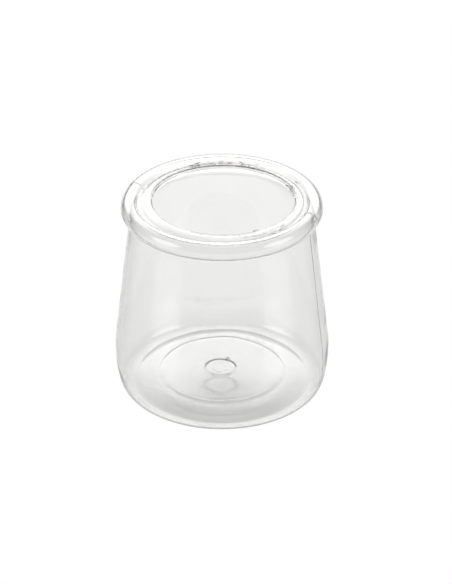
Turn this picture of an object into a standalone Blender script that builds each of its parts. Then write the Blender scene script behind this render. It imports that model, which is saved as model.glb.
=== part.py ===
"""Clear plastic dessert cup, empty, blow-moulded in one piece.

One thin wall runs from the middle of the base out to the stand ring, up the tapered body,
round a hollow rim bead and inwards over a narrow flange to the trimmed mouth.
Units are metres, +Z is up, and the origin is the middle of the stand ring on the table.
"""

import math

import bmesh
import bpy

MM = 0.001
SEGMENTS = 64

# Body: widest just above the heel, narrowest where it meets the bead
BODY_RADIUS = 36.0 * MM
NECK_RADIUS = 30.73 * MM
NECK_TOP = 62.4 * MM
HEEL_TOP = 17.7 * MM
HEEL_UPPER_PULL = 7.1 * MM
HEEL_LOWER_PULL = 2.2 * MM
HEEL_POINTS = 10

# Rim bead: a hollow tube, a little taller than wide, open to the inside of the cup
BEAD_CENTRE_RADIUS = 30.65 * MM
BEAD_CENTRE_HEIGHT = 66.24 * MM
BEAD_HALF_WIDTH = 2.91 * MM
BEAD_HALF_HEIGHT = 3.2 * MM
BEAD_START = math.radians(-65)
BEAD_END = math.radians(150)
BEAD_POINTS = 10
BEAD_MIDDLE = 5
CREASE_LOWER_PULL = 0.5 * MM
CREASE_UPPER_PULL = 0.9 * MM
CREASE_POINTS = 4

# Flange and mouth: a shallow groove beside the bead, then a lip turned down at the mouth
GROOVE_RADIUS = 27.4 * MM
GROOVE_HEIGHT = 67.8 * MM
FLANGE_OUTER_RADIUS = 26.5 * MM
FLANGE_OUTER_HEIGHT = 68.4 * MM
MOUTH_RADIUS = 23.6 * MM
MOUTH_TOP = 68.9 * MM
MOUTH_BOTTOM = 67.5 * MM
MOUTH_ROUNDING = 0.8 * MM
MOUTH_POINTS = 4

# Base: flat stand ring, hollow slope, one low step and a gently pushed-up middle
RING_OUTER_RADIUS = 33.4 * MM
RING_INNER_RADIUS = 29.4 * MM
SLOPE_TOP_RADIUS = 21.6 * MM
SLOPE_TOP = 1.75 * MM
SLOPE_POINTS = 4
STEP_WIDTH = 1.4 * MM
STEP_HEIGHT = 0.5 * MM
DOME_RISE = 0.75 * MM
DOME_POINTS = 4

# Gate mark in the middle of the underside: a round hollow with sloped sides and a low disc in it
MARK_RADIUS = 5.6 * MM
MARK_SLOPE = 0.9 * MM
MARK_DEPTH = 0.4 * MM
DISC_RADIUS = 2.6 * MM
DISC_SLOPE = 0.8 * MM
DISC_DEPTH = 0.08 * MM

# Wall thickness along the sheet, thickest in the base and in the middle of the bead
BASE_THICKNESS = 1.4 * MM
RING_THICKNESS = 0.6 * MM
BODY_THICKNESS = 0.5 * MM
BEAD_THICKNESS = 0.8 * MM
MOUTH_THICKNESS = 0.6 * MM

PLASTIC_COLOUR = (0.955, 0.958, 0.95, 1.0)
PLASTIC_ROUGHNESS = 0.04
PLASTIC_IOR = 1.57
SHARP_ANGLE = math.radians(35)
AXIS_MERGE = 0.001 * MM


def clear_scene():
    for obj in list(bpy.data.objects):
        bpy.data.objects.remove(obj, do_unlink=True)


def mix(start, end, share):
    return start + (end - start) * share


def cubic(start, start_pull, end_pull, end, count):
    """Points along a cubic Bezier curve, both ends included."""
    points = []
    for i in range(count):
        t = i / (count - 1)
        weights = ((1 - t) ** 3, 3 * t * (1 - t) ** 2, 3 * t * t * (1 - t), t**3)
        handles = (start, start_pull, end_pull, end)
        points.append(tuple(sum(w * p[k] for w, p in zip(weights, handles)) for k in (0, 1)))
    return points


def arc(centre, across, up, start, end, count):
    """Points along an ellipse about centre with these half axes, both ends included."""
    angles = [mix(start, end, i / (count - 1)) for i in range(count)]
    return [(centre[0] + across * math.cos(a), centre[1] + up * math.sin(a)) for a in angles]


def heel_and_body():
    """From the stand ring round the heel and straight up to the neck."""
    run = (BODY_RADIUS - NECK_RADIUS, HEEL_TOP - NECK_TOP)
    scale = HEEL_UPPER_PULL / math.hypot(*run)
    body_end = (BODY_RADIUS, HEEL_TOP)
    upper_pull = (BODY_RADIUS + run[0] * scale, HEEL_TOP + run[1] * scale)
    lower_pull = (RING_OUTER_RADIUS + HEEL_LOWER_PULL, 0.0)
    return cubic((RING_OUTER_RADIUS, 0.0), lower_pull, upper_pull, body_end, HEEL_POINTS)


def rim():
    """From the neck out through the crease, round the bead, over the flange and down the mouth's edge."""
    centre = (BEAD_CENTRE_RADIUS, BEAD_CENTRE_HEIGHT)
    bead = arc(centre, BEAD_HALF_WIDTH, BEAD_HALF_HEIGHT, BEAD_START, BEAD_END, BEAD_POINTS)
    along = (-BEAD_HALF_WIDTH * math.sin(BEAD_START), BEAD_HALF_HEIGHT * math.cos(BEAD_START))
    scale = CREASE_UPPER_PULL / math.hypot(*along)
    foot = (bead[0][0] - along[0] * scale, bead[0][1] - along[1] * scale)
    neck = (NECK_RADIUS, NECK_TOP)
    crease = cubic(neck, (NECK_RADIUS, NECK_TOP + CREASE_LOWER_PULL), foot, bead[0], CREASE_POINTS)
    flange = [(GROOVE_RADIUS, GROOVE_HEIGHT), (FLANGE_OUTER_RADIUS, FLANGE_OUTER_HEIGHT)]
    corner = (MOUTH_RADIUS + MOUTH_ROUNDING, MOUTH_TOP - MOUTH_ROUNDING)
    mouth = arc(corner, MOUTH_ROUNDING, MOUTH_ROUNDING, math.pi / 2, math.pi, MOUTH_POINTS)
    return crease + bead[1:] + flange + mouth + [(MOUTH_RADIUS, MOUTH_BOTTOM)]


def inset(points, thicknesses):
    """The same line moved to its left by the wall thickness, with mitred corners."""
    moved = []
    for i, (x, z) in enumerate(points):
        before = points[max(i - 1, 0)]
        after = points[min(i + 1, len(points) - 1)]
        normals = []
        for a, b in ((before, (x, z)), ((x, z), after)):
            length = math.dist(a, b)
            if length > 0:
                normals.append(((a[1] - b[1]) / length, (b[0] - a[0]) / length))
        total = [sum(n[k] for n in normals) for k in (0, 1)]
        size = math.hypot(*total)
        unit = (total[0] / size, total[1] / size)
        mitre = unit[0] * normals[0][0] + unit[1] * normals[0][1]
        reach = thicknesses[i] / mitre
        moved.append((x + unit[0] * reach, z + unit[1] * reach))
    return moved


def base_line(lift, inner_radius):
    """Slope, step and pushed-up middle, from inner_radius out to the stand ring."""
    step_inner = SLOPE_TOP_RADIUS - STEP_WIDTH
    dome_edge = SLOPE_TOP + STEP_HEIGHT
    line = []
    for i in range(DOME_POINTS):
        radius = mix(inner_radius, step_inner, i / (DOME_POINTS - 1))
        line.append((radius, dome_edge + DOME_RISE * (1 - (radius / step_inner) ** 2) + lift))
    for i in range(SLOPE_POINTS):
        share = i / (SLOPE_POINTS - 1)
        radius = mix(SLOPE_TOP_RADIUS, RING_INNER_RADIUS, share)
        line.append((radius, SLOPE_TOP * (1 - share**2) + lift))
    return line


def underside():
    """From the axis out to the stand ring, with the gate mark."""
    line = base_line(0.0, MARK_RADIUS)
    hollow = line[0][1] + MARK_DEPTH
    mark = [
        (0.0, hollow - DISC_DEPTH),
        (DISC_RADIUS, hollow - DISC_DEPTH),
        (DISC_RADIUS + DISC_SLOPE, hollow),
        (MARK_RADIUS - MARK_SLOPE, hollow),
    ]
    return mark + line


def floor():
    """The base seen from inside, from the axis out to the stand ring."""
    thinning = (BASE_THICKNESS - RING_THICKNESS) / RING_INNER_RADIUS
    return [(x, z - thinning * x) for x, z in base_line(BASE_THICKNESS, 0.0)]


def wall_outline():
    """The whole section, from the axis under the base round to the axis above it."""
    body = heel_and_body()
    lip = rim()
    outside = body + lip
    thicknesses = [mix(RING_THICKNESS, BODY_THICKNESS, i / (len(body) - 1)) for i in range(len(body))]
    thicknesses += [BODY_THICKNESS] * (CREASE_POINTS - 1)
    thicknesses += [mix(BODY_THICKNESS, BEAD_THICKNESS, i / (BEAD_MIDDLE - 1)) for i in range(BEAD_MIDDLE)]
    after = len(outside) - len(thicknesses)
    thicknesses += [mix(BEAD_THICKNESS, MOUTH_THICKNESS, (i + 1) / after) for i in range(after)]
    inside = inset(outside, thicknesses)
    return underside() + outside + inside[::-1] + floor()[::-1]


def turned_mesh(name, outline):
    mesh = bpy.data.meshes.new(name)
    bm = bmesh.new()
    verts = [bm.verts.new((x, 0.0, z)) for x, z in outline]
    edges = [bm.edges.new(pair) for pair in zip(verts, verts[1:])]
    bmesh.ops.spin(
        bm,
        geom=verts + edges,
        axis=(0.0, 0.0, 1.0),
        cent=(0.0, 0.0, 0.0),
        angle=math.tau,
        steps=SEGMENTS,
        use_merge=True,
    )
    bmesh.ops.remove_doubles(bm, verts=bm.verts, dist=AXIS_MERGE)
    bmesh.ops.recalc_face_normals(bm, faces=bm.faces)
    bm.to_mesh(mesh)
    bm.free()
    mesh.shade_smooth()
    mesh.set_sharp_from_angle(angle=SHARP_ANGLE)
    return mesh


def clear_plastic():
    material = bpy.data.materials.new("clear_plastic")
    material.use_nodes = True
    shader = material.node_tree.nodes["Principled BSDF"]
    shader.inputs["Base Color"].default_value = PLASTIC_COLOUR
    shader.inputs["Roughness"].default_value = PLASTIC_ROUGHNESS
    shader.inputs["Metallic"].default_value = 0.0
    shader.inputs["IOR"].default_value = PLASTIC_IOR
    shader.inputs["Transmission Weight"].default_value = 1.0
    return material


def add_cup():
    mesh = turned_mesh("cup", wall_outline())
    mesh.materials.append(clear_plastic())
    cup = bpy.data.objects.new("cup", mesh)
    bpy.context.scene.collection.objects.link(cup)


clear_scene()
add_cup()
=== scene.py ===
"""Looks of the clear plastic dessert cup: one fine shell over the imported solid, with studio and camera.

Units are metres, +Z is up, and the origin is the middle of the stand ring on the floor.
"""

import math

import bpy
import numpy as np
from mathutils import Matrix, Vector


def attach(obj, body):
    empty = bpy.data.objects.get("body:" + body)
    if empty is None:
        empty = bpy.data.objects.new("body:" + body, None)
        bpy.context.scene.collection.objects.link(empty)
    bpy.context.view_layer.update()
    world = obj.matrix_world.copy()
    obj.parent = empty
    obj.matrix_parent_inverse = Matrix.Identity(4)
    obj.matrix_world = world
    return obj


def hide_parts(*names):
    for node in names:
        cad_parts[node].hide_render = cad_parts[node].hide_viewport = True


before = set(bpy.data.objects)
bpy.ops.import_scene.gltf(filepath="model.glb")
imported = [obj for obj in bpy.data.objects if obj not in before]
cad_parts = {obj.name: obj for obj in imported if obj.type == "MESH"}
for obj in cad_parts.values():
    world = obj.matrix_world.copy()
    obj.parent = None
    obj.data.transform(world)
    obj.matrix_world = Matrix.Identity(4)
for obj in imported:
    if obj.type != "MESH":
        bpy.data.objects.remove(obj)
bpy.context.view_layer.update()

MM = 0.001

# Body and heel
BODY_RADIUS = 36.0 * MM
NECK_RADIUS = 30.73 * MM
NECK_TOP = 62.4 * MM
HEEL_TOP = 17.7 * MM
HEEL_UPPER_PULL = 7.1 * MM
HEEL_LOWER_PULL = 2.2 * MM
HEEL_POINTS = 33
WALL_STEPS = 12

# Rim bead, and the crease between it and the body
BEAD_CENTRE_RADIUS = 30.65 * MM
BEAD_CENTRE_HEIGHT = 66.24 * MM
BEAD_HALF_WIDTH = 2.91 * MM
BEAD_HALF_HEIGHT = 3.2 * MM
BEAD_START = math.radians(-65)
BEAD_END = math.radians(150)
BEAD_STEPS = 40
CREASE_LOWER_PULL = 0.5 * MM
CREASE_UPPER_PULL = 0.9 * MM
CREASE_STEPS = 10

# Flange and mouth
GROOVE_RADIUS = 27.4 * MM
GROOVE_HEIGHT = 67.8 * MM
FLANGE_OUTER_RADIUS = 26.5 * MM
FLANGE_OUTER_HEIGHT = 68.4 * MM
MOUTH_RADIUS = 23.6 * MM
MOUTH_TOP = 68.9 * MM
MOUTH_BOTTOM = 67.5 * MM
MOUTH_ROUNDING = 0.8 * MM
MOUTH_POINTS = 10
MOUTH_EDGE_STEPS = 4

# Base, with the gate mark in the middle of its underside
RING_OUTER_RADIUS = 33.4 * MM
RING_INNER_RADIUS = 29.4 * MM
SLOPE_TOP_RADIUS = 21.6 * MM
SLOPE_TOP = 1.75 * MM
SLOPE_POINTS = 16
STEP_WIDTH = 1.4 * MM
STEP_HEIGHT = 0.5 * MM
STEP_EDGE = np.array((0.2 * MM, -0.05 * MM))
STEP_CURVE_POINTS = 6
DOME_RISE = 0.75 * MM
DOME_POINTS = 16
MARK_RADIUS = 5.6 * MM
MARK_SLOPE = 0.9 * MM
MARK_DEPTH = 0.4 * MM
DISC_RADIUS = 2.6 * MM
DISC_SLOPE = 0.8 * MM
DISC_DEPTH = 0.08 * MM

# Rounding of the corners of groove, step and gate mark: reach, and how much of a side it may take
CORNER_REACH = 0.5 * MM
CORNER_SHARE = 0.45
CURVE_POINTS = 7

# Wall thickness along the sheet. The bead is thickest at BEAD_THICKEST of the way along its steps
BASE_THICKNESS = 1.4 * MM
RING_THICKNESS = 0.6 * MM
BODY_THICKNESS = 0.5 * MM
BEAD_THICKNESS = 0.8 * MM
BEAD_THICKEST = 0.45
MOUTH_THICKNESS = 0.6 * MM

# Turning: even steps all round, with finer ones near the parting line, in radians
SEGMENTS = 240
PARTING_REACH = 0.03
PARTING_POINTS = 13
SMALLEST_STEP = 0.002
SHARP_ANGLE = math.radians(40)

# Everything above RIM_FROM is rim, and everything below BASE_TO near the axis is base
RIM_FROM = 60 * MM
BASE_TO = 8 * MM

# Waves of the blown wall: size, count round the cup, slant per millimetre and start of each
WAVES = ((0.45, 3, 0.09, 1.1), (0.35, 5, -0.15, 2.0), (0.25, 11, 0.21, 0.4), (0.15, 19, -0.33, 3.3))
WAVE_HEIGHT = 0.025 * MM
WAVE_TWIST = 0.8
WALL_FOOT_FADE = (2 * MM, 10 * MM)
WALL_NECK_FADE = (61 * MM, 63 * MM)
WALL_RADIUS_FADE = (31 * MM, 32 * MM)
WALL_TAPER = 3 * MM
WALL_TAPER_HEIGHTS = (40 * MM, 60 * MM)
BASE_WAVE_HEIGHT = 0.02 * MM
BASE_WAVE_TWIST = 0.15
BASE_WAVE_STRETCH = 1.5
BASE_INNER_FADE = (7 * MM, 12 * MM)
BASE_OUTER_FADE = (27 * MM, 29 * MM)

# Parting line of the mould, up the wall and over the crown of the bead
PARTING_ANGLE = math.radians(-20)
PARTING_WIDTH = 0.25 * MM
PARTING_HEIGHT = 0.02 * MM
PARTING_FADE = (1 * MM, 4 * MM)
PARTING_RADIUS = 30.2 * MM
PARTING_CROWN_HEIGHT = 0.045 * MM
CROWN_FROM = 66 * MM
CROWN_RADIUS = 27.6 * MM

# Mouth and gate mark set a little off the axis, and a ripple ring in the base
MOUTH_SHIFT = 0.5 * MM
MOUTH_FADE = (25 * MM, 27.4 * MM)
MARK_SHIFT = -0.5 * MM
MARK_FADE = (6.5 * MM, 9 * MM)
RIPPLE_RADIUS = 18.2 * MM
RIPPLE_WIDTH = 0.7 * MM
RIPPLE_HEIGHT = 0.1 * MM
RIPPLE_WITHIN = 24 * MM

# Ragged edge of the mouth: size, count round the cup and start of each row of burrs
BURR_HEIGHT = 0.35 * MM
BURR_FADE = (24.0 * MM, 24.9 * MM)
BURRS = ((0.03, 61, 0.0), (0.03, 97, 1.7))

# The mouth's rounding as the slivers meet it: distances from the edge, and drops below the top
EDGE_DISTANCES = (0.0, 0.4 * MM)
EDGE_DROPS = (0.5 * MM, 0.15 * MM)

# Slivers left by the knife, in degrees and millimetres:
# first and last angle, nearest and farthest, length, width, rise, how many
SLIVERS = (
    (97, 116, 24.4, 29.0, 2.6, 0.14, 0.08, 36),
    (62, 97, 24.4, 29.0, 2.4, 0.14, 0.04, 26),
    (1, 27, 22.8, 24.8, 1.5, 0.22, 0.7, 30),
    (-66, -61, 23.0, 24.4, 1.1, 0.26, 0.9, 9),
    (27, 30, 27.6, 28.2, 3.0, 0.2, 0.1, 2),
    (-80, -35, 24.8, 27.2, 3.2, 0.12, 0.03, 24),
)
# Shreds beside the gate mark, with height instead of rise
GATE_SHREDS = (50, 74, 4.0, 6.6, 1.8, 0.32, 4.3, 8)
GATE_SHRED_RISE = 0.6
SLIVER_SEED = 11

# One shaving: shares of its row's length and width, how it turns and tilts, its shoulders and its arch
SHAVING_LENGTHS = (0.4, 1.0)
SHAVING_WIDTHS = (0.5, 1.2)
SHAVING_TURN = 0.15
SHAVING_TILT = 0.3
SHAVING_SHOULDERS = (-0.2, 0.2)
SHAVING_ARCH = 0.15 * MM

# Clear plastic, with painted shade that turns it from clear to grey where it is seen edge-on, and a faint
# cloudy haze
PLASTIC_IOR = 1.57
ABSORPTION = 100.0
ABSORPTION_COLOUR = (0.05, 0.04, 0.0, 1.0)
FACING_BLEND = 0.5
FACING_SHADE_TINTS = ((0.55, (1.0, 1.0, 0.995)), (0.75, (0.86, 0.86, 0.86)), (1.0, (0.1, 0.1, 0.1)))
HAZE_SCALE = 45.0
HAZE_DETAIL = 3.0
HAZE_SPAN = (0.3, 0.7)
HAZE_LEVELS = (0.985, 1.0)

# Scratches on the flange: how fine across and along, and where they fade out
SCRATCH_ACROSS = 2600.0
SCRATCH_ALONG = 2.2
SCRATCH_DETAIL = 4.0
SCRATCH_ROUGHNESS = 0.65
SCRATCH_DEPTH = 0.05 * MM
SCRATCH_RADII = (27.5 * MM, 29.5 * MM)
SCRATCH_HEIGHTS = (67.2 * MM, 67.8 * MM)

# Plastic torn by the knife
TORN_SCALE = 900.0
TORN_TINTS = ((0.35, (0.3, 0.3, 0.29)), (0.65, (0.85, 0.85, 0.84)))
TORN_ROUGHNESS = 0.25
TORN_CLEARNESS = 0.8

# Floor
FLOOR_SIZE = 12.0
FLOOR_DROP = 0.2 * MM
FLOOR_WHITE = 0.25
FLOOR_GLOW = 0.53
FLOOR_ROUGHNESS = 0.02
FLOOR_IOR = 1.5

# Painted pool of light on the floor, and painted shades by distance from the axis, where SHADE_SCALE is 1
POOL_SPAN = (0.25, 0.8)
POOL_EDGE = 0.15
SHADE_SCALE = 0.06
SHADES = ((0.0, 1.2), (0.28, 1.2), (0.38, 1.12), (0.48, 1.12), (0.53, 1.0), (1.0, 1.0))

# Painted shade on the floor far behind the cup, and darker still to its sides there
REAR_SPAN = (0.08, 0.12)
REAR_SHADE_LEVEL = 0.955
SIDES_SPAN = (0.06, 0.1)
SIDES_REAR_SPAN = (0.08, 0.1)
SIDES_SHADE_LEVEL = 0.5

# Painted shadow on the floor under the front of the cup, and a painted bright ring of light at its foot
FRONT_SHADOW_SPAN = (-9 * MM, 8 * MM)
FRONT_SHADOW_LEVEL = 0.82
FOOT_INNER_SPAN = (28.5 * MM, 30.5 * MM)
FOOT_OUTER_SPAN = (32.5 * MM, 34.5 * MM)
FOOT_REAR_SPAN = (-20 * MM, 0.0)
FOOT_PAINTED_GLOW = 0.25

# Painted shadow of the rim on the floor behind the cup, and painted light past it
RIM_SHADOW_PLACE = (0.0, 120.5 * MM, 0.0)
RIM_SHADOW_REAR_SPAN = (125.5 * MM, 140.5 * MM)
RIM_SHADOW_SPAN = (25.9 * MM, 30.4 * MM)
RIM_SHADOW = 0.38
BEHIND_SPAN = (30.4 * MM, 32.4 * MM)
BEHIND_GLOW = 1.1

# Painted faint shadow ring and glow from the gate mark, and painted soft shadow under the base's middle
GATE_SHADOW_PLACE = (-0.6 * MM, -6 * MM, 0.0)
GATE_SHADOW_RADIUS = 5.3 * MM
GATE_SHADOW_SPAN = (0.2 * MM, 1.2 * MM)
GATE_SHADOW = 0.2
GATE_GLOW_SPAN = (3.5 * MM, 4.8 * MM)
GATE_GLOW = 0.1
SHADOW_PLACE = (1 * MM, -9.5 * MM, 0.0)
SHADOW_SPAN = (3 * MM, 13 * MM)
SHADOW = 0.24

# Studio, by direction: backdrop behind, dark horizon, ceiling and a softbox on each side
ROOM_LEVEL = 0.15
BACKDROP_SIDES = (0.35, 0.8)
BACKDROP_HEIGHTS = (0.55, 0.97)
BACKDROP_LEVEL = 2.4
HORIZON_HEIGHTS = (0.08, 0.25)
HORIZON_LEVEL = 0.1
CEILING_HEIGHTS = (0.85, 0.97)
CEILING_LEVEL = 0.8
SOFTBOX_DIRECTION = (0.87, -0.38, 0.32)
SOFTBOX_EDGE = (0.93, 0.98)
SOFTBOX_LEVEL = 2.2
LIGHT_LEVEL = 1.0
BOUNCES = 24

# Camera, from the cup's outline in the photograph, whose frame is 452 by 584 pixels
PHOTO_HEIGHT = 584
CAMERA_ELEVATION = math.radians(30.4)
CAMERA_DISTANCE = 920 * MM
CAMERA_AIM_HEIGHT = 33.2 * MM
CAMERA_AIM_X = 1.35 * MM
PIXELS_PER_METRE = 2964.0
SENSOR = 36.0

UPWARD = np.array((0.0, 0.0, 1.0))


def mix(start, end, share):
    return start + (end - start) * share


def cubic(start, start_pull, end_pull, end, count):
    """Points along a cubic Bezier curve, both ends included."""
    t = np.linspace(0.0, 1.0, count)[:, None]
    weights = ((1 - t) ** 3, 3 * t * (1 - t) ** 2, 3 * t * t * (1 - t), t**3)
    handles = (start, start_pull, end_pull, end)
    return sum(weight * np.array(handle) for weight, handle in zip(weights, handles))


def arc(centre, across, up, start, end, count):
    """Points along an ellipse about centre, with these half axes."""
    angles = np.linspace(start, end, count)
    return np.c_[centre[0] + across * np.cos(angles), centre[1] + up * np.sin(angles)]


def straight(start, end, count):
    """Points from start towards end, without the last."""
    share = np.arange(count)[:, None] / count
    return mix(np.array(start), np.array(end), share)


def rounded(points, count):
    """The same line with every inner corner cut by a curve of about the corner reach."""
    points = np.asarray(points, float)
    t = np.linspace(0.0, 1.0, count)[:, None]
    out = [points[0]]
    for before, corner, after in zip(points, points[1:], points[2:]):
        ends = []
        for side in (before - corner, after - corner):
            length = np.linalg.norm(side)
            ends.append(corner + side / length * min(CORNER_REACH, length * CORNER_SHARE))
        out.extend((1 - t) ** 2 * ends[0] + 2 * t * (1 - t) * corner + t * t * ends[1])
    out.append(points[-1])
    return np.array(out)


def heel_and_body():
    """From the stand ring round the heel and straight up to the neck."""
    body_end = np.array((BODY_RADIUS, HEEL_TOP))
    run = np.array((BODY_RADIUS - NECK_RADIUS, HEEL_TOP - NECK_TOP))
    upper_pull = body_end + run / np.linalg.norm(run) * HEEL_UPPER_PULL
    lower_pull = (RING_OUTER_RADIUS + HEEL_LOWER_PULL, 0.0)
    heel = cubic((RING_OUTER_RADIUS, 0.0), lower_pull, upper_pull, body_end, HEEL_POINTS)
    return np.r_[heel[:-1], straight(body_end, (NECK_RADIUS, NECK_TOP), WALL_STEPS)]


def rim():
    """From the neck out through the crease, round the bead, over the flange and down the mouth's edge."""
    centre = (BEAD_CENTRE_RADIUS, BEAD_CENTRE_HEIGHT)
    bead = arc(centre, BEAD_HALF_WIDTH, BEAD_HALF_HEIGHT, BEAD_START, BEAD_END, BEAD_STEPS + 1)
    along = np.array((-BEAD_HALF_WIDTH * math.sin(BEAD_START), BEAD_HALF_HEIGHT * math.cos(BEAD_START)))
    foot = bead[0] - CREASE_UPPER_PULL * along / np.linalg.norm(along)
    neck = (NECK_RADIUS, NECK_TOP)
    crease = cubic(neck, (NECK_RADIUS, NECK_TOP + CREASE_LOWER_PULL), foot, bead[0], CREASE_STEPS + 1)
    corner = (MOUTH_RADIUS + MOUTH_ROUNDING, MOUTH_TOP - MOUTH_ROUNDING)
    groove = (GROOVE_RADIUS, GROOVE_HEIGHT)
    flange_outer = (FLANGE_OUTER_RADIUS, FLANGE_OUTER_HEIGHT)
    flange = rounded([bead[-1], groove, flange_outer, (corner[0], MOUTH_TOP)], CURVE_POINTS)
    mouth = arc(corner, MOUTH_ROUNDING, MOUTH_ROUNDING, math.pi / 2, math.pi, MOUTH_POINTS)
    mouth_end = (MOUTH_RADIUS, MOUTH_BOTTOM)
    edge = straight(mouth[-1], mouth_end, MOUTH_EDGE_STEPS)[1:]
    return np.r_[crease[:-1], bead, flange[1:-1], mouth, edge, [mouth_end]]


def inset(points, thicknesses):
    """The same line moved to its left by the wall thickness, with mitred corners."""
    ahead = np.diff(points, axis=0)
    ahead /= np.linalg.norm(ahead, axis=1)[:, None]
    normals = np.c_[-ahead[:, 1], ahead[:, 0]]
    before = np.r_[normals[:1], normals]
    after = np.r_[normals, normals[-1:]]
    total = before + after
    unit = total / np.linalg.norm(total, axis=1)[:, None]
    reach = thicknesses / (unit * before).sum(1)
    return points + unit * reach[:, None]


def base_line(lift, inner_radius):
    """Pushed-up middle, step and slope, from inner_radius out to the stand ring."""
    step_inner = SLOPE_TOP_RADIUS - STEP_WIDTH
    dome_edge = SLOPE_TOP + STEP_HEIGHT
    radius = np.linspace(inner_radius, step_inner, DOME_POINTS)
    dome = np.c_[radius, dome_edge + DOME_RISE * (1 - (radius / step_inner) ** 2) + lift]
    share = np.linspace(0.0, 1.0, SLOPE_POINTS)
    slope = np.c_[mix(SLOPE_TOP_RADIUS, RING_INNER_RADIUS, share), SLOPE_TOP * (1 - share**2) + lift]
    step = rounded([dome[-1], dome[-1] + STEP_EDGE, slope[0] - STEP_EDGE, slope[0]], STEP_CURVE_POINTS)
    return np.r_[dome, step[1:-1], slope]


def underside():
    """From the axis out to the stand ring, with the gate mark."""
    line = base_line(0.0, MARK_RADIUS)
    hollow = line[0][1] + MARK_DEPTH
    mark = [
        (0.0, hollow - DISC_DEPTH),
        (DISC_RADIUS, hollow - DISC_DEPTH),
        (DISC_RADIUS + DISC_SLOPE, hollow),
        (MARK_RADIUS - MARK_SLOPE, hollow),
    ]
    return np.r_[rounded(mark + [line[0], line[1]], CURVE_POINTS), line[2:]]


def floor_line():
    """The base seen from inside, from the axis out to the stand ring."""
    line = base_line(BASE_THICKNESS, 0.0)
    thinning = (BASE_THICKNESS - RING_THICKNESS) / RING_INNER_RADIUS
    return line - np.c_[np.zeros(len(line)), line[:, 0] * thinning]


def wall_outline():
    """The whole section, from the axis under the base round to the axis above it."""
    body = heel_and_body()
    lip = rim()
    lip_thickness = np.interp(
        np.arange(len(lip)),
        (0, CREASE_STEPS, CREASE_STEPS + BEAD_STEPS * BEAD_THICKEST, len(lip) - 1),
        (BODY_THICKNESS, BODY_THICKNESS, BEAD_THICKNESS, MOUTH_THICKNESS),
    )
    outside = np.r_[body, lip]
    inside = inset(outside, np.r_[np.linspace(RING_THICKNESS, BODY_THICKNESS, len(body)), lip_thickness])
    return np.r_[underside(), outside, inside[::-1], floor_line()[::-1]]


def smooth(low, high, value):
    """0 below low, 1 above high, and an even curve between them."""
    t = np.clip((value - low) / (high - low), 0.0, 1.0)
    return t * t * (3 - 2 * t)


def turning_angles():
    """Even steps all round, with finer ones at the parting line."""
    even = np.linspace(0.0, math.tau, SEGMENTS, endpoint=False)
    near = np.linspace(-PARTING_REACH, PARTING_REACH, PARTING_POINTS)
    fine = [PARTING_ANGLE + side + near for side in (0.0, math.pi)]
    angles = np.sort(np.concatenate([even, *fine]) % math.tau)
    return angles[np.r_[True, np.diff(angles) > SMALLEST_STEP]]


def waves(angle, height):
    """Slow unevenness of a blown wall, a little more than 1 at most."""
    z = height / MM
    return sum(size * np.sin(count * angle + slant * z + start) for size, count, slant, start in WAVES)


def uneven(points):
    """The turned points with waves, parting line, shifted mouth and gate mark, and a ragged mouth edge."""
    x, y, z = points.T
    radius = np.hypot(x, y)
    angle = np.arctan2(y, x)
    outward = np.c_[np.cos(angle), np.sin(angle), np.zeros(len(x))]

    wall_radius = radius + smooth(*WALL_TAPER_HEIGHTS, z) * WALL_TAPER
    on_wall = smooth(*WALL_FOOT_FADE, z) * smooth(*WALL_RADIUS_FADE, wall_radius)
    on_wall *= 1 - smooth(*WALL_NECK_FADE, z)
    wave = waves(angle + radius / MM * WAVE_TWIST, z)
    out = points + outward * (WAVE_HEIGHT * wave * on_wall)[:, None]

    on_base = smooth(*BASE_INNER_FADE, radius) * (1 - smooth(*BASE_OUTER_FADE, radius)) * (z < BASE_TO)
    wave = waves(angle + radius / MM * BASE_WAVE_TWIST, radius * BASE_WAVE_STRETCH)
    out += UPWARD * (BASE_WAVE_HEIGHT * wave * on_base)[:, None]

    off_plane = np.abs(radius * np.sin(angle - PARTING_ANGLE))
    ridge = np.exp(-((off_plane / PARTING_WIDTH) ** 2))
    steep = smooth(*PARTING_FADE, z) * (z < CROWN_FROM) * (radius > PARTING_RADIUS)
    crown = (z >= CROWN_FROM) * (radius > CROWN_RADIUS)
    out += outward * (PARTING_HEIGHT * ridge * steep)[:, None]
    out += UPWARD * (PARTING_CROWN_HEIGHT * ridge * crown)[:, None]

    at_mouth = (1 - smooth(*MOUTH_FADE, radius)) * (z > RIM_FROM)
    out[:, 0] += MOUTH_SHIFT * at_mouth
    at_mark = (1 - smooth(*MARK_FADE, radius)) * (z < BASE_TO)
    out[:, :2] += MARK_SHIFT * at_mark[:, None]
    at_ripple = (radius < RIPPLE_WITHIN) & (z < BASE_TO)
    ripple = np.exp(-(((radius - RIPPLE_RADIUS) / RIPPLE_WIDTH) ** 2))
    out += UPWARD * (RIPPLE_HEIGHT * at_ripple * ripple)[:, None]

    at_edge = (1 - smooth(*BURR_FADE, radius)) * (z > RIM_FROM)
    ragged = sum(size * np.sin(angle * count + start) for size, count, start in BURRS)
    out += outward * (BURR_HEIGHT * ragged * at_edge)[:, None]
    return out


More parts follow.
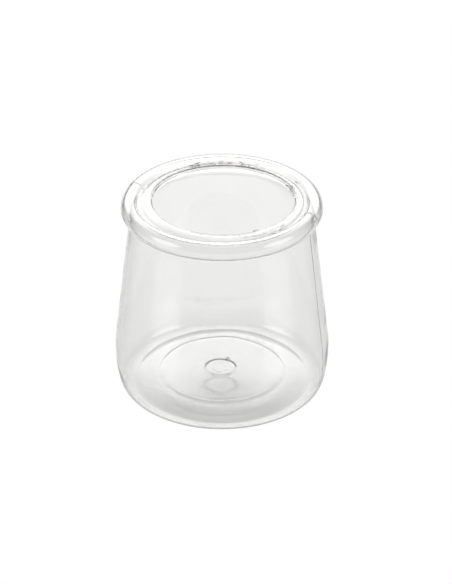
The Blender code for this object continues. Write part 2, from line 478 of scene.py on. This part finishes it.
def turned_shell(name, outline):
    """The closed section turned about the axis, with one point at each pole."""
    angles = turning_angles()
    steps = len(angles)
    inner = outline[1:-1]
    across = np.outer(inner[:, 0], np.cos(angles))
    along = np.outer(inner[:, 0], np.sin(angles))
    height = np.repeat(inner[:, 1:], steps, 1)
    ring = np.stack([across, along, height], axis=-1).reshape(-1, 3)
    points = uneven(np.r_[ring, [(0.0, 0.0, outline[0][1])], [(0.0, 0.0, outline[-1][1])]])
    rows = len(inner)
    row = np.arange(rows - 1)[:, None] * steps
    here = np.arange(steps)[None, :]
    there = (here + 1) % steps
    quads = np.stack([row + here, row + there, row + steps + there, row + steps + here], -1).reshape(-1, 4)
    bottom, top = len(ring), len(ring) + 1
    last = (rows - 1) * steps
    faces = [tuple(quad) for quad in quads]
    faces += [(bottom, (j + 1) % steps, j) for j in range(steps)]
    faces += [(top, last + j, last + (j + 1) % steps) for j in range(steps)]
    mesh = bpy.data.meshes.new(name)
    mesh.from_pydata(points.tolist(), [], faces)
    mesh.validate()
    mesh.shade_smooth()
    mesh.set_sharp_from_angle(angle=SHARP_ANGLE)
    return mesh


def flange_height(radius):
    """Height of the flange's upper face at this distance from the axis, without the mouth's shift."""
    radii = [MOUTH_RADIUS + distance for distance in EDGE_DISTANCES]
    heights = [MOUTH_TOP - drop for drop in EDGE_DROPS]
    radii += [MOUTH_RADIUS + MOUTH_ROUNDING, FLANGE_OUTER_RADIUS, GROOVE_RADIUS]
    heights += [MOUTH_TOP, FLANGE_OUTER_HEIGHT, GROOVE_HEIGHT]
    return np.interp(radius, radii, heights)


def add_shaving(points, faces, rng, centre, angle, length, width, rise):
    """One thin pointed shaving, three-sided, about centre and at right angles to this angle."""
    reach = length * rng.uniform(*SHAVING_LENGTHS)
    turned = angle + rng.normal(0.0, SHAVING_TURN + rise)
    around = np.array((-math.sin(turned), math.cos(turned), rng.normal(0.0, SHAVING_TILT) * rise))
    outward = np.array((math.cos(angle), math.sin(angle), 0.0))
    thick = width * rng.uniform(*SHAVING_WIDTHS)
    start = len(points)
    points.append(centre - around * reach / 2)
    points.append(centre + around * reach / 2)
    for share in SHAVING_SHOULDERS:
        middle = centre + around * reach * share + UPWARD * rise * SHAVING_ARCH
        points.append(middle + outward * thick / 2)
        points.append(middle - outward * thick / 2)
        points.append(middle + UPWARD * thick)
    first, last = start, start + 1
    low, high = start + 2, start + 5
    for k in range(3):
        after = (k + 1) % 3
        faces.append((first, low + after, low + k))
        faces.append((low + k, low + after, high + after, high + k))
        faces.append((last, high + k, high + after))


def sliver_mesh(name):
    """Shavings that lie on the flange or stand off the mouth's edge, and shreds beside the gate mark."""
    rng = np.random.default_rng(SLIVER_SEED)
    points = []
    faces = []
    for first, last, near, far, length, width, rise, count in SLIVERS:
        for _ in range(count):
            angle = math.radians(rng.uniform(first, last))
            radius = rng.uniform(near, far) * MM
            across = radius * math.cos(angle) + MOUTH_SHIFT
            centre = np.array((across, radius * math.sin(angle), flange_height(radius)))
            add_shaving(points, faces, rng, centre, angle, length * MM, width * MM, rise)
    first, last, near, far, length, width, height, count = GATE_SHREDS
    for _ in range(count):
        angle = math.radians(rng.uniform(first, last))
        radius = rng.uniform(near, far) * MM
        across = MARK_SHIFT + radius * math.cos(angle)
        centre = np.array((across, MARK_SHIFT + radius * math.sin(angle), height * MM))
        towards = angle + math.pi / 2
        add_shaving(points, faces, rng, centre, towards, length * MM, width * MM, GATE_SHRED_RISE)
    mesh = bpy.data.meshes.new(name)
    mesh.from_pydata([tuple(point) for point in points], [], faces)
    mesh.validate()
    return mesh


class Graph:
    """Short ways to add nodes to the tree of one material or world."""

    def __init__(self, tree):
        self.nodes = tree.nodes
        self.links = tree.links

    def math(self, operation, first, second=0.0):
        node = self.nodes.new("ShaderNodeMath")
        node.operation = operation
        for socket, value in zip(node.inputs, (first, second)):
            if isinstance(value, float):
                socket.default_value = value
            else:
                self.links.new(value, socket)
        return node.outputs["Value"]

    def times(self, first, *others):
        """The product of all these."""
        product = first
        for other in others:
            product = self.math("MULTIPLY", product, other)
        return product

    def plus_one(self, value):
        return self.math("ADD", value, 1.0)

    def ranged(self, value, span, at_low, at_high):
        """A number that runs from at_low to at_high as value goes through the span."""
        node = self.nodes.new("ShaderNodeMapRange")
        node.interpolation_type = "SMOOTHSTEP"
        self.links.new(value, node.inputs["Value"])
        node.inputs["From Min"].default_value = span[0]
        node.inputs["From Max"].default_value = span[1]
        node.inputs["To Min"].default_value = at_low
        node.inputs["To Max"].default_value = at_high
        return node.outputs["Result"]

    def split(self, place):
        """The X, Y and Z of a place."""
        node = self.nodes.new("ShaderNodeSeparateXYZ")
        self.links.new(place, node.inputs[0])
        return node.outputs["X"], node.outputs["Y"], node.outputs["Z"]

    def length(self, place):
        node = self.nodes.new("ShaderNodeVectorMath")
        node.operation = "LENGTH"
        self.links.new(place, node.inputs[0])
        return node.outputs["Value"]

    def compared(self, operation, place, other):
        """DISTANCE or DOT_PRODUCT of a place and a fixed one."""
        node = self.nodes.new("ShaderNodeVectorMath")
        node.operation = operation
        self.links.new(place, node.inputs[0])
        node.inputs[1].default_value = other
        return node.outputs["Value"]

    def ramp(self, value, stops):
        """A colour that runs through these stops, each a position and a colour."""
        node = self.nodes.new("ShaderNodeValToRGB")
        elements = node.color_ramp.elements
        for element, (position, colour) in zip(list(elements), (stops[0], stops[-1])):
            element.position = position
            element.color = (*colour, 1.0)
        for position, colour in stops[1:-1]:
            elements.new(position).color = (*colour, 1.0)
        self.links.new(value, node.inputs["Fac"])
        return node.outputs["Color"]

    def noise(self, place, scale, detail=2.0, roughness=0.5):
        node = self.nodes.new("ShaderNodeTexNoise")
        node.inputs["Scale"].default_value = scale
        node.inputs["Detail"].default_value = detail
        node.inputs["Roughness"].default_value = roughness
        self.links.new(place, node.inputs["Vector"])
        return node.outputs["Fac"]

    def object_place(self):
        return self.nodes.new("ShaderNodeTexCoord").outputs["Object"]


def new_material(name):
    """A material with nodes, its graph and its shader."""
    material = bpy.data.materials.new(name)
    material.use_nodes = True
    graph = Graph(material.node_tree)
    return material, graph, graph.nodes["Principled BSDF"]


def scratches(graph, place):
    """Fine marks that run round the flange, from the spinning knife that trims the mouth."""
    x, y, z = graph.split(place)
    square = graph.math("ADD", graph.math("MULTIPLY", x, x), graph.math("MULTIPLY", y, y))
    radius = graph.math("SQRT", square)
    angle = graph.math("ARCTAN2", y, x)
    unrolled = graph.nodes.new("ShaderNodeCombineXYZ")
    graph.links.new(graph.math("MULTIPLY", radius, SCRATCH_ACROSS), unrolled.inputs["X"])
    graph.links.new(graph.math("MULTIPLY", angle, SCRATCH_ALONG), unrolled.inputs["Y"])
    marks = graph.noise(unrolled.outputs["Vector"], 1.0, SCRATCH_DETAIL, SCRATCH_ROUGHNESS)
    within = graph.ranged(radius, SCRATCH_RADII, 1.0, 0.0)
    above = graph.ranged(z, SCRATCH_HEIGHTS, 0.0, 1.0)
    bump = graph.nodes.new("ShaderNodeBump")
    bump.inputs["Strength"].default_value = 1.0
    bump.inputs["Distance"].default_value = SCRATCH_DEPTH
    graph.links.new(graph.times(within, above, marks), bump.inputs["Height"])
    return bump.outputs["Normal"]


def clear_plastic():
    """Clear plastic that absorbs a little light and is faintly hazy, with painted shade that greys it
    where it is seen edge-on.
    """
    material, graph, shader = new_material("clear_plastic")
    absorption = graph.nodes.new("ShaderNodeVolumeAbsorption")
    absorption.inputs["Color"].default_value = ABSORPTION_COLOUR
    absorption.inputs["Density"].default_value = ABSORPTION
    graph.links.new(absorption.outputs["Volume"], graph.nodes["Material Output"].inputs["Volume"])
    # Painted shade: the colour turns grey, then near black, where the surface is seen edge-on.
    facing = graph.nodes.new("ShaderNodeLayerWeight")
    facing.inputs["Blend"].default_value = FACING_BLEND
    tint = graph.ramp(facing.outputs["Facing"], FACING_SHADE_TINTS)
    place = graph.object_place()
    haze = graph.ranged(graph.noise(place, HAZE_SCALE, HAZE_DETAIL), HAZE_SPAN, *HAZE_LEVELS)
    blend = graph.nodes.new("ShaderNodeMix")
    blend.data_type = "RGBA"
    blend.blend_type = "MULTIPLY"
    blend.inputs["Factor"].default_value = 1.0
    graph.links.new(tint, blend.inputs["A"])
    graph.links.new(haze, blend.inputs["B"])
    graph.links.new(blend.outputs["Result"], shader.inputs["Base Color"])
    graph.links.new(scratches(graph, place), shader.inputs["Normal"])
    shader.inputs["Roughness"].default_value = 0.0
    shader.inputs["IOR"].default_value = PLASTIC_IOR
    shader.inputs["Transmission Weight"].default_value = 1.0
    return material


def torn_plastic():
    """The same plastic where the knife tore it: cloudy, with a rough face."""
    material, graph, shader = new_material("torn_plastic")
    tint = graph.ramp(graph.noise(graph.object_place(), TORN_SCALE), TORN_TINTS)
    graph.links.new(tint, shader.inputs["Base Color"])
    shader.inputs["Roughness"].default_value = TORN_ROUGHNESS
    shader.inputs["IOR"].default_value = PLASTIC_IOR
    shader.inputs["Transmission Weight"].default_value = TORN_CLEARNESS
    return material


def add_slivers():
    mesh = sliver_mesh("trimming_slivers")
    mesh.materials.append(torn_plastic())
    slivers = bpy.data.objects.new("trimming_slivers", mesh)
    bpy.context.scene.collection.objects.link(slivers)
    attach(slivers, "root")
    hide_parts("cup")


def add_cup():
    mesh = turned_shell("cup_shell", wall_outline())
    mesh.materials.append(clear_plastic())
    cup = bpy.data.objects.new("cup_shell", mesh)
    bpy.context.scene.collection.objects.link(cup)
    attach(cup, "root")
    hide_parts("cup")


def painted_floor_light_and_shade(graph, place):
    """Painted light and shade on the floor: how bright each place is, as seen through the plastic."""
    x, y, _ = graph.split(place)
    far = graph.length(place)
    # Painted light and shade: a pool of light, and shades by distance from the axis.
    pool = graph.ranged(far, POOL_SPAN, 1.0, POOL_EDGE)
    shade_stops = [(position, (level,) * 3) for position, level in SHADES]
    shade = graph.ramp(graph.math("DIVIDE", far, SHADE_SCALE), shade_stops)
    # Painted shade: the floor darker far behind the cup, and darker still to its sides there.
    rear_shade = graph.ranged(y, REAR_SPAN, 1.0, REAR_SHADE_LEVEL)
    sides_shade = graph.ranged(graph.math("ABSOLUTE", x), SIDES_SPAN, 0.0, SIDES_SHADE_LEVEL - 1.0)
    sides_shade = graph.times(sides_shade, graph.ranged(y, SIDES_REAR_SPAN, 0.0, 1.0))

    # Painted shadow under the front of the cup, and a painted bright ring of light at its foot.
    front_shadow = graph.ranged(y, FRONT_SHADOW_SPAN, FRONT_SHADOW_LEVEL, 1.0)
    outside = graph.ranged(far, FOOT_INNER_SPAN, 0.0, 1.0)
    foot = graph.times(outside, graph.ranged(far, FOOT_OUTER_SPAN, 1.0, 0.0))
    foot = graph.times(foot, graph.ranged(y, FOOT_REAR_SPAN, FOOT_PAINTED_GLOW, 0.0))

    # Painted shadow of the rim behind the cup, and painted light past it.
    away = graph.compared("DISTANCE", place, RIM_SHADOW_PLACE)
    past_rim = graph.ranged(y, RIM_SHADOW_REAR_SPAN, 0.0, 1.0)
    rim_shadow = graph.times(past_rim, graph.ranged(away, RIM_SHADOW_SPAN, 0.0, -RIM_SHADOW))
    behind = graph.times(past_rim, graph.ranged(away, BEHIND_SPAN, 0.0, BEHIND_GLOW))

    # Painted shadow ring and glow from the gate mark, and a painted soft shadow under the base.
    from_gate = graph.compared("DISTANCE", place, GATE_SHADOW_PLACE)
    off_ring = graph.math("ABSOLUTE", graph.math("SUBTRACT", from_gate, GATE_SHADOW_RADIUS))
    gate_shadow_ring = graph.ranged(off_ring, GATE_SHADOW_SPAN, 1.0 - GATE_SHADOW, 1.0)
    gate_glow = graph.ranged(from_gate, GATE_GLOW_SPAN, 1.0 + GATE_GLOW, 1.0)
    from_shadow = graph.compared("DISTANCE", place, SHADOW_PLACE)
    shadow = graph.ranged(from_shadow, SHADOW_SPAN, 1.0 - SHADOW, 1.0)
    return graph.times(
        pool,
        shade,
        rear_shade,
        graph.plus_one(sides_shade),
        graph.math("MAXIMUM", front_shadow, outside),
        graph.plus_one(foot),
        graph.plus_one(rim_shadow),
        graph.plus_one(behind),
        gate_shadow_ring,
        gate_glow,
        shadow,
    )


def floor_material():
    """White, faintly glossy and glowing, with painted light and shadows. Seen directly it is burnt out to
    plain white.
    """
    material, graph, shader = new_material("floor")
    place = graph.nodes.new("ShaderNodeNewGeometry").outputs["Position"]
    painted_light_and_shade = painted_floor_light_and_shade(graph, place)
    # The painted light and shade go into both the floor's colour and its glow.
    graph.links.new(graph.times(painted_light_and_shade, FLOOR_WHITE), shader.inputs["Base Color"])
    graph.links.new(graph.times(painted_light_and_shade, FLOOR_GLOW), shader.inputs["Emission Strength"])
    shader.inputs["Emission Color"].default_value = (1.0, 1.0, 1.0, 1.0)
    shader.inputs["Roughness"].default_value = FLOOR_ROUGHNESS
    shader.inputs["IOR"].default_value = FLOOR_IOR
    white = graph.nodes.new("ShaderNodeEmission")
    white.inputs["Color"].default_value = (1.0, 1.0, 1.0, 1.0)
    path = graph.nodes.new("ShaderNodeLightPath")
    blend = graph.nodes.new("ShaderNodeMixShader")
    graph.links.new(path.outputs["Is Camera Ray"], blend.inputs["Fac"])
    graph.links.new(shader.outputs["BSDF"], blend.inputs[1])
    graph.links.new(white.outputs["Emission"], blend.inputs[2])
    graph.links.new(blend.outputs["Shader"], graph.nodes["Material Output"].inputs["Surface"])
    return material


def add_floor():
    mesh = bpy.data.meshes.new("floor")
    half = FLOOR_SIZE / 2
    corners = [(-half, -half, 0), (half, -half, 0), (half, half, 0), (-half, half, 0)]
    mesh.from_pydata(corners, [], [(0, 1, 2, 3)])
    mesh.materials.append(floor_material())
    floor = bpy.data.objects.new("floor", mesh)
    floor.location.z = -FLOOR_DROP
    bpy.context.scene.collection.objects.link(floor)


def add_world():
    """A bright backdrop low behind the cup, a dark room and ceiling, and two softboxes.

    Seen directly it is plain and pale, and diffuse surfaces are lit evenly.
    """
    world = bpy.data.worlds.new("studio")
    bpy.context.scene.world = world
    world.use_nodes = True
    graph = Graph(world.node_tree)
    direction = graph.nodes.new("ShaderNodeTexCoord").outputs["Generated"]
    x, y, z = graph.split(direction)
    centred = graph.ranged(graph.math("ABSOLUTE", x), BACKDROP_SIDES, 1.0, 0.0)
    behind = graph.times(centred, graph.math("GREATER_THAN", y, 0.0))
    low = graph.ranged(z, BACKDROP_HEIGHTS, 1.0, 0.0)
    horizon = graph.ranged(z, HORIZON_HEIGHTS, HORIZON_LEVEL, 1.0)
    level = graph.times(behind, graph.times(low, horizon), BACKDROP_LEVEL)
    level = graph.math("MAXIMUM", level, graph.ranged(z, CEILING_HEIGHTS, ROOM_LEVEL, CEILING_LEVEL))
    for side in (-1.0, 1.0):
        towards = (side * SOFTBOX_DIRECTION[0], SOFTBOX_DIRECTION[1], SOFTBOX_DIRECTION[2])
        facing = graph.compared("DOT_PRODUCT", direction, towards)
        level = graph.math("MAXIMUM", level, graph.ranged(facing, SOFTBOX_EDGE, 0.0, SOFTBOX_LEVEL))
    path = graph.nodes.new("ShaderNodeLightPath")
    scattered = graph.math("GREATER_THAN", path.outputs["Diffuse Depth"], 0.5)
    level = graph.math("MAXIMUM", level, graph.times(scattered, LIGHT_LEVEL))
    seen = graph.math("MAXIMUM", path.outputs["Is Camera Ray"], level)
    background = graph.nodes["Background"]
    graph.links.new(seen, background.inputs["Strength"])
    background.inputs["Color"].default_value = (1.0, 1.0, 1.0, 1.0)


def add_camera():
    camera_data = bpy.data.cameras.new("camera")
    camera = bpy.data.objects.new("camera", camera_data)
    bpy.context.scene.collection.objects.link(camera)
    back = Vector((0.0, -math.cos(CAMERA_ELEVATION), math.sin(CAMERA_ELEVATION)))
    camera.location = Vector((CAMERA_AIM_X, 0.0, CAMERA_AIM_HEIGHT)) + back * CAMERA_DISTANCE
    camera.rotation_euler = (-back).to_track_quat("-Z", "Y").to_euler()
    camera_data.sensor_width = SENSOR
    camera_data.lens = PIXELS_PER_METRE * CAMERA_DISTANCE * SENSOR / PHOTO_HEIGHT
    bpy.context.scene.camera = camera


def set_look():
    """Plain colour handling, and enough bounces for light to pass through all the walls."""
    scene = bpy.context.scene
    scene.view_settings.view_transform = "Standard"
    scene.cycles.max_bounces = BOUNCES
    scene.cycles.glossy_bounces = BOUNCES
    scene.cycles.transmission_bounces = BOUNCES


add_camera()
add_floor()
add_world()
add_cup()
add_slivers()
set_look()
